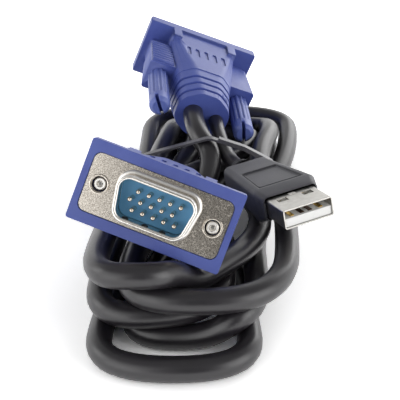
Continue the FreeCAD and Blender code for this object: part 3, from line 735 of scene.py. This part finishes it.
@dataclass
class MainCable(Cord):
    """The round cable: out of the computer-end hood, through the hank, into the switch-end hood."""

    name: str = "main_cable"
    replaced: tuple[str, ...] = ("cable_hank", "computer_lead", "switch_lead")
    far_end: FarEnd = FarEnd.CONNECTOR
    lay: Lay = Lay.COILED
    diameter: float = 5.6
    length: float = 1296.8
    neck_offset: float = 2.6  # to the right of the computer-end hood's axis
    computer_straight: float = 10.0  # how far it runs straight out of that neck
    switch_straight: float = 6.0
    computer_lead: tuple[Point, ...] = ((3.4, 72.0, 15.85), (1.6, 62.0, 11.45), (-2.0, 54.0, 6.8))
    third_turn: tuple[Point, ...] = (
        (0.6, 42.0, 7.7), (5.2, 30.0, 8.7), (5.4, 19.0, 8.7), (-2.0, 10.2, 8.7), (-21.9, 9.6, 8.75),
        (-21.8, 28.0, 9.4), (-19.75, 50.0, 6.35), (-15.6, 72.0, 6.2), (-14.6, 92.0, 7.2),
        (-14.4, 117.0, 7.6), (26.2, 117.0, 7.6), (26.2, 96.0, 7.0), (18.2, 72.0, 3.9), (13.5, 50.0, 3.0),
    )
    fourth_turn: tuple[Point, ...] = (
        (12.6, 28.0, 8.4), (12.3, 15.2, 8.8), (8.0, 9.0, 8.6), (0.7, 9.8, 2.8), (-14.5, 10.9, 2.8),
        (-14.2, 24.0, 2.8), (-6.4, 50.0, 3.0), (-3.4, 72.0, 3.9), (-3.0, 90.0, 2.8), (-3.0, 104.5, 2.8),
        (12.8, 104.5, 2.8), (12.4, 92.0, 2.8), (2.6, 72.0, 3.9), (5.6, 50.0, 3.0),
    )
    front_turn: tuple[Point, ...] = (
        (10.2, 20.0, 2.8), (10.9, -0.4, 2.8), (-21.6, -0.4, 2.8), (-21.2, 20.0, 2.8), (-14.8, 50.0, 2.95),
        (-9.5, 72.0, 3.9), (-9.5, 92.0, 2.8), (-9.5, 113.5, 2.8), (20.5, 113.5, 2.8), (20.5, 96.0, 2.8),
        (16.0, 85.0, 5.6), (8.0, 72.0, 8.7), (14.6, 57.0, 9.0),
    )
    top_turn: tuple[Point, ...] = (
        (14.6, 41.0, 11.9), (10.6, 28.0, 14.3), (4.4, 20.2, 14.5), (-1.2, 14.5, 14.4), (-5.2, 10.9, 18.78),
        (-9.6, 6.2, 21.0), (-21.8, 7.4, 20.4), (-21.8, 28.0, 16.8), (-20.7, 47.0, 12.3),
        (-14.0, 61.0, 11.9), (-12.2, 72.0, 12.2), (-8.4, 95.0, 11.8), (-7.6, 108.5, 7.4),
        (19.2, 108.5, 7.4), (20.6, 97.0, 11.4), (16.9, 84.0, 12.0), (15.3, 72.0, 10.6),
        (21.0, 56.0, 9.6),
    )
    second_turn: tuple[Point, ...] = (
        (20.3, 36.0, 12.4), (18.5, 17.0, 13.8), (9.0, 7.1, 14.0), (-15.0, 7.2, 14.4),
        (-15.0, 26.0, 14.2), (-10.4, 50.0, 7.0), (-7.15, 72.0, 9.15), (-1.6, 92.0, 8.75),
        (-1.6, 100.8, 8.5), (14.9, 100.8, 8.5), (14.9, 91.6, 8.55),
    )
    switch_lead: tuple[Point, ...] = ((-1.2, 72.0, 10.35), (-5.4, 62.0, 14.2))

    def route(self) -> list[Vector]:
        """String the turns together.

        Returns:
            The control points from the computer-end neck to the switch-end neck, in metres.
        """
        start = COMPUTER_FRAME.behind(NECK_END, self.neck_offset)
        ahead = COMPUTER_FRAME.behind(NECK_END + self.computer_straight, self.neck_offset)
        before = SWITCH_FRAME.behind(NECK_END + self.switch_straight)
        end = SWITCH_FRAME.behind(NECK_END)
        turns = (
            self.computer_lead, self.third_turn, self.fourth_turn, self.front_turn, self.top_turn,
            self.second_turn, self.switch_lead,
        )
        inner = [in_frame(point) for turn in turns for point in turn]
        return [start, ahead, *inner, before, end]


@dataclass
class DataLead(Cord):
    """The thin lead from the computer-end hood to the data plug, sunk a little into both."""

    name: str = "thin_lead"
    replaced: tuple[str, ...] = ("data_lead",)
    far_end: FarEnd = FarEnd.PLUG
    lay: Lay = Lay.LOOSE
    diameter: float = 4.0
    length: float = 31.0
    neck_offset: float = -4.2  # to the left of the computer-end hood's axis
    sunk: float = 3.4
    neck_straight: float = 8.0  # how far it runs straight out of the hood
    plug_straight: float = 6.0

    def route(self) -> list[Vector]:
        """Lead from one plug to the other.

        Returns:
            The control points from the computer-end neck to the data plug's relief, in metres.
        """
        return [
            COMPUTER_FRAME.behind(NECK_END - self.sunk, self.neck_offset),
            COMPUTER_FRAME.behind(NECK_END + self.neck_straight, self.neck_offset),
            DATA_FRAME.behind(RELIEF_END + self.plug_straight),
            DATA_FRAME.behind(RELIEF_END - self.sunk),
        ]


@dataclass
class VideoPlug:
    """A fifteen-pin plug: hood, shells, insulator, pins and two thumbscrews.

    Sizes are in the plug's own frame, in millimetres; distances back are behind the rim's face.
    A round form's sides are the flats that stand for its round.
    """

    end: End
    frame: PlugFrame
    screws_back: tuple[float, float]  # how far the left and the right screw are drawn back
    screw_spacing: float = 25.0
    flange_face: float = 0.3
    shell_rounding: float = 0.12
    knob_rounding: float = 0.14
    hole_radius: float = 1.65
    ring_radius: float = 0.26
    ring_squash: float = 0.7
    ring_sides: tuple[int, int] = (48, 10)  # round the hole, and round the rim itself
    sunk: float = 0.05  # how far a raised form goes into the sheet it rises from
    screw_reach: float = 5.0
    tip_radius: float = 1.34
    tip_length: float = 0.6
    tip_cone: float = 0.2
    tip_sides: int = 40
    dish_radius: float = 0.76
    dish_steps: tuple[float, ...] = (0.12, 0.3)  # how much each step down narrows the dish
    dish_depth: float = 0.45  # of one step
    thread_length: float = 6.0
    thread_root: float = 1.1
    thread_ridge: float = 0.27
    thread_pitch: float = 0.64
    thread_sides: int = 3  # of the ridge's own outline
    thread_steps: int = 24  # in one turn of the ridge
    shank_radius: float = 1.0
    shank_end: float = 33.3
    shank_sides: int = 32
    nose_length: float = 5.9
    mouth_depth: float = 0.01  # faces no further behind the mouth belong to it
    lip_radius: float = 0.34
    foot_radius: float = 0.6
    foot_spread: tuple[float, float] = (1.048, 1.095)  # the foot's outline against the mouth's
    roll_roundness: int = 3
    roll_angle: float = 60.0  # in place of CURVE_ANGLE
    dimple_places: tuple[float, ...] = (-4.8, -0.5, 3.3)
    dimple_drop: float = 4.2  # from the plug's axis to the nose's lower wall
    dimple_out: float = 2.6
    dimple_radius: float = 0.5
    dimple_stretch: Point = (1.5, 0.7, 2.2)
    dimple_sides: tuple[int, int] = (20, 12)  # round its axis, and from end to end
    ridge_count: int = 8
    ridge_pitch: float = 1.55
    ridge_front: float = 9.2
    ridge_radius: float = 0.66
    ridge_length: float = 6.4
    ridge_rounding: float = 0.2
    ridge_sides: int = 20
    ear_half_height: float = 4.5
    pin_radius: float = 0.48
    pin_reach: float = 4.6
    pin_root: float = 6.7
    pin_sides: int = 20
    pin_pitch: float = 2.29
    pin_row_pitch: float = 1.98
    pin_rows: tuple[int, ...] = (1, 0, -1)
    pin_columns: tuple[int, ...] = (-2, -1, 0, 1, 2)
    pin_stagger: float = 0.25  # of a pitch: the middle row goes left by this, the others right
    dome_depth: float = 0.36
    dome_steps: int = 4
    dome_angle: float = 50.0  # in place of CURVE_ANGLE

    def node(self, part: str) -> str:
        """Return the full name of one of the plug's parts."""
        return f"{self.end.value}_{part}"

    def side_node(self, side: Side, part: str) -> str:
        """Return the full name of a part that the plug has at each side."""
        return self.node(f"{side.name.lower()}_{part}")

    def build(self, nodes: dict[str, Piece]) -> list[Piece]:
        """Make every piece of the plug.

        Args:
            nodes: The CAD nodes by name.

        Returns:
            The pieces, with the CAD nodes that are kept.
        """
        shell = reskin(nodes[self.node("shell")], "nickel_steel", NICKEL_PLATE, self.shell_rounding)
        pieces = [
            reskin(nodes[self.node("hood")], "hood_vinyl", HOOD_VINYL),
            shell,
            self.rolled_edges(shell),
            self.dimples(),
            self.pins(),
        ]
        # The insulator's blue is drawn lighter, a painted light against the shell's shade.
        for part, finish in (
            ("back_shell", NICKEL_PLATE), ("insulator", BLUE_NYLON_PAINTED_LIGHT), ("inner_mould", INNER_VINYL),
        ):
            pieces.append(keep(nodes[self.node(part)], finish))
        for side, back in zip(Side, self.screws_back):
            pieces += [self.ear_ridges(side), self.pressed_ring(side), self.screw(side, back)]
            pieces.append(reskin(
                nodes[self.side_node(side, "knob")], "knob_vinyl", KNOB_VINYL, self.knob_rounding,
                self.side_node(side, "thumbscrew"),
            ))
        return pieces

    def rolled_edges(self, shell: Piece) -> Piece:
        """Roll the nose's lip, and the foot where the nose rises from the flange.

        Args:
            shell: The flange and nose, whose mouth gives the outline.

        Returns:
            The lip and the foot as one piece. Parted from the shell, it stands for the same node.
        """
        into_plug = self.frame.matrix().inverted()
        mouth = self.nose_length - self.flange_face - self.mouth_depth
        edit_faces(shell, lambda face: (into_plug @ face.center).z > mouth * MM)
        bpy.ops.mesh.region_to_loop()
        bpy.ops.mesh.duplicate()
        bpy.ops.mesh.separate(type="SELECTED")
        bpy.ops.object.mode_set(mode="OBJECT")
        lip = next(piece for piece in bpy.context.selected_objects if piece is not shell)
        lip.data.transform(into_plug)
        activate(lip)
        bpy.ops.object.convert(target="CURVE")
        foot = lip.copy()
        foot.data = lip.data.copy()
        bpy.context.collection.objects.link(foot)
        inner = min(foot.data.splines, key=lambda spline: max(point.co.x for point in spline.points))
        foot.data.splines.remove(inner)
        foot.data.transform(Matrix.Diagonal((*self.foot_spread, 1.0, 1.0)))
        bars = ((lip, self.lip_radius, -self.lip_radius), (foot, self.foot_radius, -self.nose_length))
        for bar, radius, shift in bars:
            bar.data.bevel_depth = radius * MM
            bar.data.bevel_resolution = self.roll_roundness
            activate(bar)
            bpy.ops.object.convert(target="MESH")
            bar.data.transform(Matrix.Translation((0.0, 0.0, shift * MM)))
        rolls = join([lip, foot])
        rolls.name = self.node("rolled_edges")
        return settle(mount(rolls, self.frame, self.roll_angle), "nickel_steel", SCREW_STEEL)

    def dimples(self) -> Piece:
        """Press earthing dimples into the nose's lower wall: one bump, cut flat and copied.

        Returns:
            The row of dimples.
        """
        around, along = self.dimple_sides
        bpy.ops.object.select_all(action="DESELECT")
        bpy.ops.mesh.primitive_uv_sphere_add(
            segments=around, ring_count=along, radius=self.dimple_radius * MM,
            location=(0.0, -self.dimple_drop * MM, self.dimple_out * MM),
        )
        bpy.context.object.scale = self.dimple_stretch
        first = take_new(self.node("earth_dimples"))
        cut_flat(first, (0.0, -self.dimple_drop - self.sunk, 0.0), (0.0, 1.0, 0.0))
        row = repeat(first, [(x, 0.0, 0.0) for x in self.dimple_places])
        # The dimples are dressed in painted shade, a dark finish for the dark they mirror.
        return settle(mount(row, self.frame), "nickel_steel", DIMPLE_PAINTED_SHADE)

    def ear_ridges(self, side: Side) -> Piece:
        """Round the comb of grip ridges: on top of the right ear, and under the left one.

        Args:
            side: Which ear it is on.

        Returns:
            The comb.
        """
        bpy.ops.object.select_all(action="DESELECT")
        bpy.ops.mesh.primitive_cylinder_add(
            vertices=self.ridge_sides, radius=self.ridge_radius * MM, depth=self.ridge_length * MM,
            location=(self.screw_spacing / 2 * MM, self.ear_half_height * MM, -self.ridge_front * MM),
            rotation=(0.0, math.pi / 2, 0.0),
        )
        comb = take_new(self.side_node(side, "ear_ridges"))
        edit_faces(comb, lambda face: abs(face.normal.x) > FACING)
        bpy.ops.mesh.bevel(offset=self.ridge_rounding * MM, segments=ROUNDING_STEPS, affect="EDGES")
        bpy.ops.object.mode_set(mode="OBJECT")
        row = comb.modifiers.new("row", "ARRAY")
        row.count = self.ridge_count
        row.use_relative_offset = False
        row.use_constant_offset = True
        row.constant_offset_displace = (0.0, 0.0, -self.ridge_pitch * MM)
        activate(comb)
        bpy.ops.object.modifier_apply(modifier=row.name)
        if side is Side.LEFT:
            comb.data.transform(Matrix.Rotation(math.pi, 4, "Z"))
        return settle(mount(comb, self.frame), "hood_vinyl", HOOD_VINYL)

    def pressed_ring(self, side: Side) -> Piece:
        """Raise the rim that the press leaves round a screw hole in the flange.

        Args:
            side: Which hole it goes round.

        Returns:
            The rim.
        """
        around, across = self.ring_sides
        bpy.ops.object.select_all(action="DESELECT")
        bpy.ops.mesh.primitive_torus_add(
            location=(side.value * self.screw_spacing / 2 * MM, 0.0, -self.flange_face * MM),
            major_radius=(self.hole_radius + self.ring_radius) * MM, minor_radius=self.ring_radius * MM,
            major_segments=around, minor_segments=across,
        )
        bpy.context.object.scale = (1.0, 1.0, self.ring_squash)
        ring = take_new(self.side_node(side, "hole_ring"))
        cut_flat(ring, (0.0, 0.0, -self.flange_face - self.sunk), (0.0, 0.0, 1.0), ring=True)
        return settle(mount(ring, self.frame), "nickel_steel", NICKEL_PLATE)

    def screw(self, side: Side, back: float) -> Piece:
        """Turn a thumbscrew: a dished tip, a rolled thread and a plain shank.

        Args:
            side: Which screw it is.
            back: How far it is drawn back.

        Returns:
            The screw, on its own body.
        """
        tip = self.screw_reach - back
        thread_top = tip - self.tip_length
        shank_top = tip - self.thread_length
        length = self.thread_length - self.tip_length
        shank_length = shank_top + self.shank_end + back
        whole = add_rod(
            self.side_node(side, "thumbscrew_shaft"), self.tip_sides, self.tip_radius, tip, self.tip_length,
        )
        edit_faces(whole, looks_out)
        bpy.ops.mesh.inset(thickness=self.tip_cone * MM)
        bpy.ops.transform.translate(value=(0.0, 0.0, self.tip_cone * MM))
        bpy.ops.mesh.inset(thickness=(self.tip_radius - self.tip_cone - self.dish_radius) * MM)
        for narrowing in self.dish_steps:
            bpy.ops.mesh.inset(thickness=narrowing * MM)
            bpy.ops.transform.translate(value=(0.0, 0.0, -self.dish_depth * MM))
        bpy.ops.object.mode_set(mode="OBJECT")
        join([
            whole,
            add_rod("thread_core", self.shank_sides, self.thread_root, thread_top, length),
            add_rod("plain_shank", self.shank_sides, self.shank_radius, shank_top, shank_length),
            self.thread(thread_top, length),
        ])
        whole.data.transform(Matrix.Translation((side.value * self.screw_spacing / 2 * MM, 0.0, 0.0)))
        return settle(
            mount(whole, self.frame), "screw_steel", SCREW_STEEL, self.side_node(side, "screw"),
            body=self.side_node(side, "thumbscrew"),
        )

    def thread(self, top: float, length: float) -> Piece:
        """Wind one ridge round the screw's core.

        Args:
            top: Where the thread starts, out of the rim's face.
            length: How far it runs back.

        Returns:
            The ridge, about the plug's axis.
        """
        bpy.ops.object.select_all(action="DESELECT")
        bpy.ops.mesh.primitive_circle_add(
            vertices=self.thread_sides, radius=self.thread_ridge * MM, fill_type="NOTHING",
            location=(self.thread_root * MM, 0.0, (top - length + self.thread_pitch / 2) * MM),
            rotation=(math.pi / 2, math.pi / 2, 0.0),
        )
        ridge = take_new("thread_ridge")
        wind = ridge.modifiers.new("wind", "SCREW")
        wind.axis = "Z"
        wind.angle = 2 * math.pi
        wind.screw_offset = self.thread_pitch * MM
        wind.iterations = int(length / self.thread_pitch) - 1
        wind.steps = self.thread_steps
        wind.render_steps = self.thread_steps
        bpy.ops.object.modifier_apply(modifier=wind.name)
        bpy.ops.object.mode_set(mode="EDIT")
        bpy.ops.mesh.select_all(action="SELECT")
        bpy.ops.mesh.remove_doubles(threshold=MERGE_DISTANCE * MM)
        bpy.ops.mesh.fill_holes(sides=self.thread_sides)
        bpy.ops.mesh.normals_make_consistent(inside=False)
        bpy.ops.object.mode_set(mode="OBJECT")
        return ridge

    def pins(self) -> Piece:
        """Set the fifteen pins in three rows, each one drawn wire with a domed tip.

        Returns:
            The group of pins.
        """
        tip = self.pin_reach - self.flange_face
        first = add_rod(self.node("pin_group"), self.pin_sides, self.pin_radius, tip, tip + self.pin_root)
        edit_faces(first, looks_out)
        bpy.ops.mesh.bevel(offset=self.dome_depth * MM, segments=self.dome_steps, affect="EDGES")
        bpy.ops.object.mode_set(mode="OBJECT")
        places = []
        for row in self.pin_rows:
            shift = self.pin_stagger if row else -self.pin_stagger
            places += [
                ((column + shift) * self.pin_pitch, row * self.pin_row_pitch, 0.0)
                for column in self.pin_columns
            ]
        group = mount(repeat(first, places), self.frame, self.dome_angle)
        return settle(group, "contact_metal", PIN_METAL, self.node("pins"))


@dataclass
class DataPlug:
    """The flat four-contact plug: moulded grip, folded shell, tongue and contacts.

    Sizes are in the plug's own frame, in millimetres.
    """

    frame: PlugFrame
    grip_rounding: float = 0.45
    contact_rounding: float = 0.06
    tab_place: Point = (0.0, 2.32, -8.1)
    tab_size: Point = (1.7, 0.34, 1.1)
    tab_rounding: float = 0.14

    def build(self, nodes: dict[str, Piece]) -> list[Piece]:
        """Make every piece of the plug.

        Args:
            nodes: The CAD nodes by name.

        Returns:
            The pieces, with the CAD nodes that are kept.
        """
        return [
            # The grip's grey is a painted sheen, lighter than its dark vinyl.
            reskin(nodes["data_grip"], "grip_vinyl", GRIP_VINYL_PAINTED_SHEEN, self.grip_rounding),
            reskin(nodes["data_shell"], "bright_steel", BRIGHT_TIN),
            keep(nodes["data_insulator"], WHITE_NYLON),
            keep(nodes["data_inner_mould"], INNER_VINYL),
            *self.contacts(nodes["data_contacts"]),
            self.folded_tab(),
        ]

    def contacts(self, node: Piece) -> list[Piece]:
        """Part the outer contacts, drawn bright, from the middle ones, drawn dark and dull as painted
        shade.

        Args:
            node: The CAD node with all four.

        Returns:
            The outer pair and the middle pair.
        """
        into_plug = self.frame.matrix().inverted()
        activate(soften(node, "contact", self.contact_rounding))
        bpy.ops.object.mode_set(mode="EDIT")
        bpy.ops.mesh.separate(type="LOOSE")
        bpy.ops.object.mode_set(mode="OBJECT")
        strips = sorted(
            bpy.context.selected_objects, key=lambda strip: (into_plug @ strip.data.vertices[0].co).x,
        )
        outer = join([strips[0], strips[-1]])
        middle = join(strips[1:-1])
        outer.name = "outer_contacts"
        middle.name = "middle_contacts"
        return [
            settle(outer, "contact_metal", GOLD_FLASH, "data_contacts"),
            settle(middle, "contact_metal", MIDDLE_CONTACT_PAINTED_SHADE, "data_contacts"),
        ]

    def folded_tab(self) -> Piece:
        """Fold the small tab that shows between the shell's windows and the grip.

        Returns:
            The tab.
        """
        bpy.ops.object.select_all(action="DESELECT")
        bpy.ops.mesh.primitive_cube_add(size=MM, location=Vector(self.tab_place) * MM)
        bpy.context.object.scale = self.tab_size
        tab = take_new("shell_tab")
        edit_faces(tab, lambda face: face.normal.y > FACING)
        bpy.ops.mesh.bevel(offset=self.tab_rounding * MM, segments=ROUNDING_STEPS, affect="EDGES")
        bpy.ops.object.mode_set(mode="OBJECT")
        return settle(mount(tab, self.frame), "bright_steel", BRIGHT_TIN)


@dataclass(frozen=True)
class Softbox:
    """A square lamp: its place in the layout, its width in millimetres and its power in watts."""

    name: str
    place: Point
    width: float
    power: float


@dataclass
class Studio:
    """White floor, a pale tent with four softboxes in it, and the camera at the photograph's angle."""

    camera_place: Point = (0.0, -148.8, 124.4)
    camera_drop: float = 29.0  # degrees below level
    camera_near: float = 10.0  # nothing nearer than this is drawn
    lens: float = 83.7
    sensor: float = 36.0
    floor_size: float = 6000.0
    floor_tone: str = "#EFEFEF"
    floor_gain: float = 1.8  # how the eye and mirrors see the paper, so that open floor is white
    softboxes: tuple[Softbox, ...] = (
        Softbox("back_softbox", (230.0, 390.0, 190.0), 300.0, 0.6),
        Softbox("front_softbox", (-335.0, -330.0, 205.0), 500.0, 0.7),
        Softbox("left_softbox", (-560.0, 60.0, 260.0), 320.0, 0.5),
        Softbox("right_softbox", (460.0, -220.0, 200.0), 420.0, 1.0),
    )
    softbox_aim: Point = (0.0, 60.0, 0.0)
    opening_axis: Point = (0.131, -0.930, 0.342)
    opening_reach: float = 32.0  # degrees from the axis to where the white cloth is whole
    opening_core: float = 11.0  # degrees from the axis to where the opening is whole
    opening_share: float = 0.1  # of the cloth's light
    wall_top: float = 14.0  # degrees above the floor to where the white wall ends
    wall_light: float = 1.6
    roof_edge: float = 52.0  # degrees above the floor to where the dimmer roof is whole
    roof_light: float = 0.42
    backdrop_light: float = 1.0  # white, as the camera sees the tent

    def build(self) -> None:
        """Make the camera, the floor, the lamps and the world."""
        self.add_camera()
        self.add_floor()
        self.add_lamps()
        self.add_world()
        bpy.context.scene.view_settings.view_transform = "Standard"

    def add_camera(self) -> None:
        """Set the camera where the photograph was taken from."""
        camera = add_object("camera", bpy.data.cameras.new("camera"))
        camera.location = in_frame(self.camera_place)
        camera.rotation_euler = (math.radians(90 - self.camera_drop), 0.0, 0.0)
        camera.data.lens = self.lens
        camera.data.sensor_width = self.sensor
        camera.data.clip_start = self.camera_near * MM
        bpy.context.scene.camera = camera

    def add_floor(self) -> None:
        """Lay the white floor, which keeps the object's shadow."""
        bpy.ops.object.select_all(action="DESELECT")
        bpy.ops.mesh.primitive_plane_add(size=self.floor_size * MM)
        floor = take_new("floor")
        material = bpy.data.materials.new("floor_paper")
        tree = empty_tree(material)
        path = add_node(tree, "ShaderNodeLightPath")
        mirrored = add_node(
            tree, "ShaderNodeMath", {"operation": "MAXIMUM"},
            links={0: path.outputs["Is Glossy Ray"], 1: path.outputs["Is Transmission Ray"]},
        )
        seen = add_node(
            tree, "ShaderNodeMath", {"operation": "MAXIMUM"},
            links={0: path.outputs["Is Camera Ray"], 1: mirrored.outputs[0]},
        )
        gain = self.floor_gain
        tone = add_node(
            tree, "ShaderNodeMix", {"data_type": "RGBA"},
            {MIX_COLOUR_A: linear(self.floor_tone), MIX_COLOUR_B: (gain, gain, gain, 1.0)},
            {MIX_FACTOR: seen.outputs[0]},
        )
        paper = add_node(tree, "ShaderNodeBsdfDiffuse", links={"Color": tone.outputs[MIX_COLOUR_OUT]})
        add_node(tree, "ShaderNodeOutputMaterial", links={"Surface": paper.outputs[0]})
        floor.data.materials.append(material)

    def add_lamps(self) -> None:
        """Hang the softboxes: one behind, one at each front corner, and one at the left."""
        for box in self.softboxes:
            lamp = add_object(box.name, bpy.data.lights.new(box.name, "AREA"))
            lamp.data.size = box.width * MM
            lamp.data.energy = box.power
            lamp.location = in_frame(box.place)
            aim = in_frame(self.softbox_aim) - lamp.location
            lamp.rotation_euler = aim.to_track_quat("-Z", "Y").to_euler()

    def add_world(self) -> None:
        """Surround the table with a tent: a white wall, a dimmer roof, and a dark opening in front.

        The camera itself sees the tent plain white.
        """
        world = bpy.data.worlds.new("tent")
        bpy.context.scene.world = world
        tree = empty_tree(world)
        place = add_node(tree, "ShaderNodeTexCoord")
        toward = add_node(
            tree, "ShaderNodeVectorMath", {"operation": "DOT_PRODUCT"},
            {1: self.opening_axis}, {0: place.outputs["Generated"]},
        )
        opening = add_node(
            tree, "ShaderNodeMapRange", {"interpolation_type": "SMOOTHSTEP"},
            {
                "From Min": math.cos(math.radians(self.opening_reach)),
                "From Max": math.cos(math.radians(self.opening_core)),
                "To Min": 1.0, "To Max": self.opening_share,
            },
            {"Value": toward.outputs["Value"]},
        )
        height = add_node(tree, "ShaderNodeSeparateXYZ", links={"Vector": place.outputs["Generated"]})
        cloth = add_node(
            tree, "ShaderNodeMapRange", {"interpolation_type": "SMOOTHSTEP"},
            {
                "From Min": math.sin(math.radians(self.wall_top)),
                "From Max": math.sin(math.radians(self.roof_edge)),
                "To Min": self.wall_light, "To Max": self.roof_light,
            },
            {"Value": height.outputs["Z"]},
        )
        tent = add_node(
            tree, "ShaderNodeMath", {"operation": "MULTIPLY"},
            links={0: opening.outputs[0], 1: cloth.outputs[0]},
        )
        path = add_node(tree, "ShaderNodeLightPath")
        strength = add_node(
            tree, "ShaderNodeMix", {"data_type": "FLOAT"}, {MIX_NUMBER_B: self.backdrop_light},
            {MIX_FACTOR: path.outputs["Is Camera Ray"], MIX_NUMBER_A: tent.outputs[0]},
        )
        background = add_node(tree, "ShaderNodeBackground", links={"Strength": strength.outputs[0]})
        add_node(tree, "ShaderNodeOutputWorld", links={"Surface": background.outputs[0]})


def main() -> None:
    """Load the frame, build and dress every piece, and set up the studio."""
    logging.basicConfig(level=logging.INFO, format="%(message)s")
    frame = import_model()
    nodes = frame["nodes"]
    switch_pieces = VideoPlug(End.SWITCH, SWITCH_FRAME, DRAWN_BACK).build(nodes)
    VideoPlug(End.COMPUTER, COMPUTER_FRAME, PUSHED_HOME).build(nodes)
    data_pieces = DataPlug(DATA_FRAME).build(nodes)
    # The tie gets a painted sheen: its black coat is drawn grey.
    keep(nodes["twist_tie"], TIE_VINYL_PAINTED_SHEEN)
    MainCable().build(switch_pieces)
    DataLead().build(data_pieces)
    Studio().build()
    bpy.context.view_layer.update()


if __name__ == "__main__":
    main()
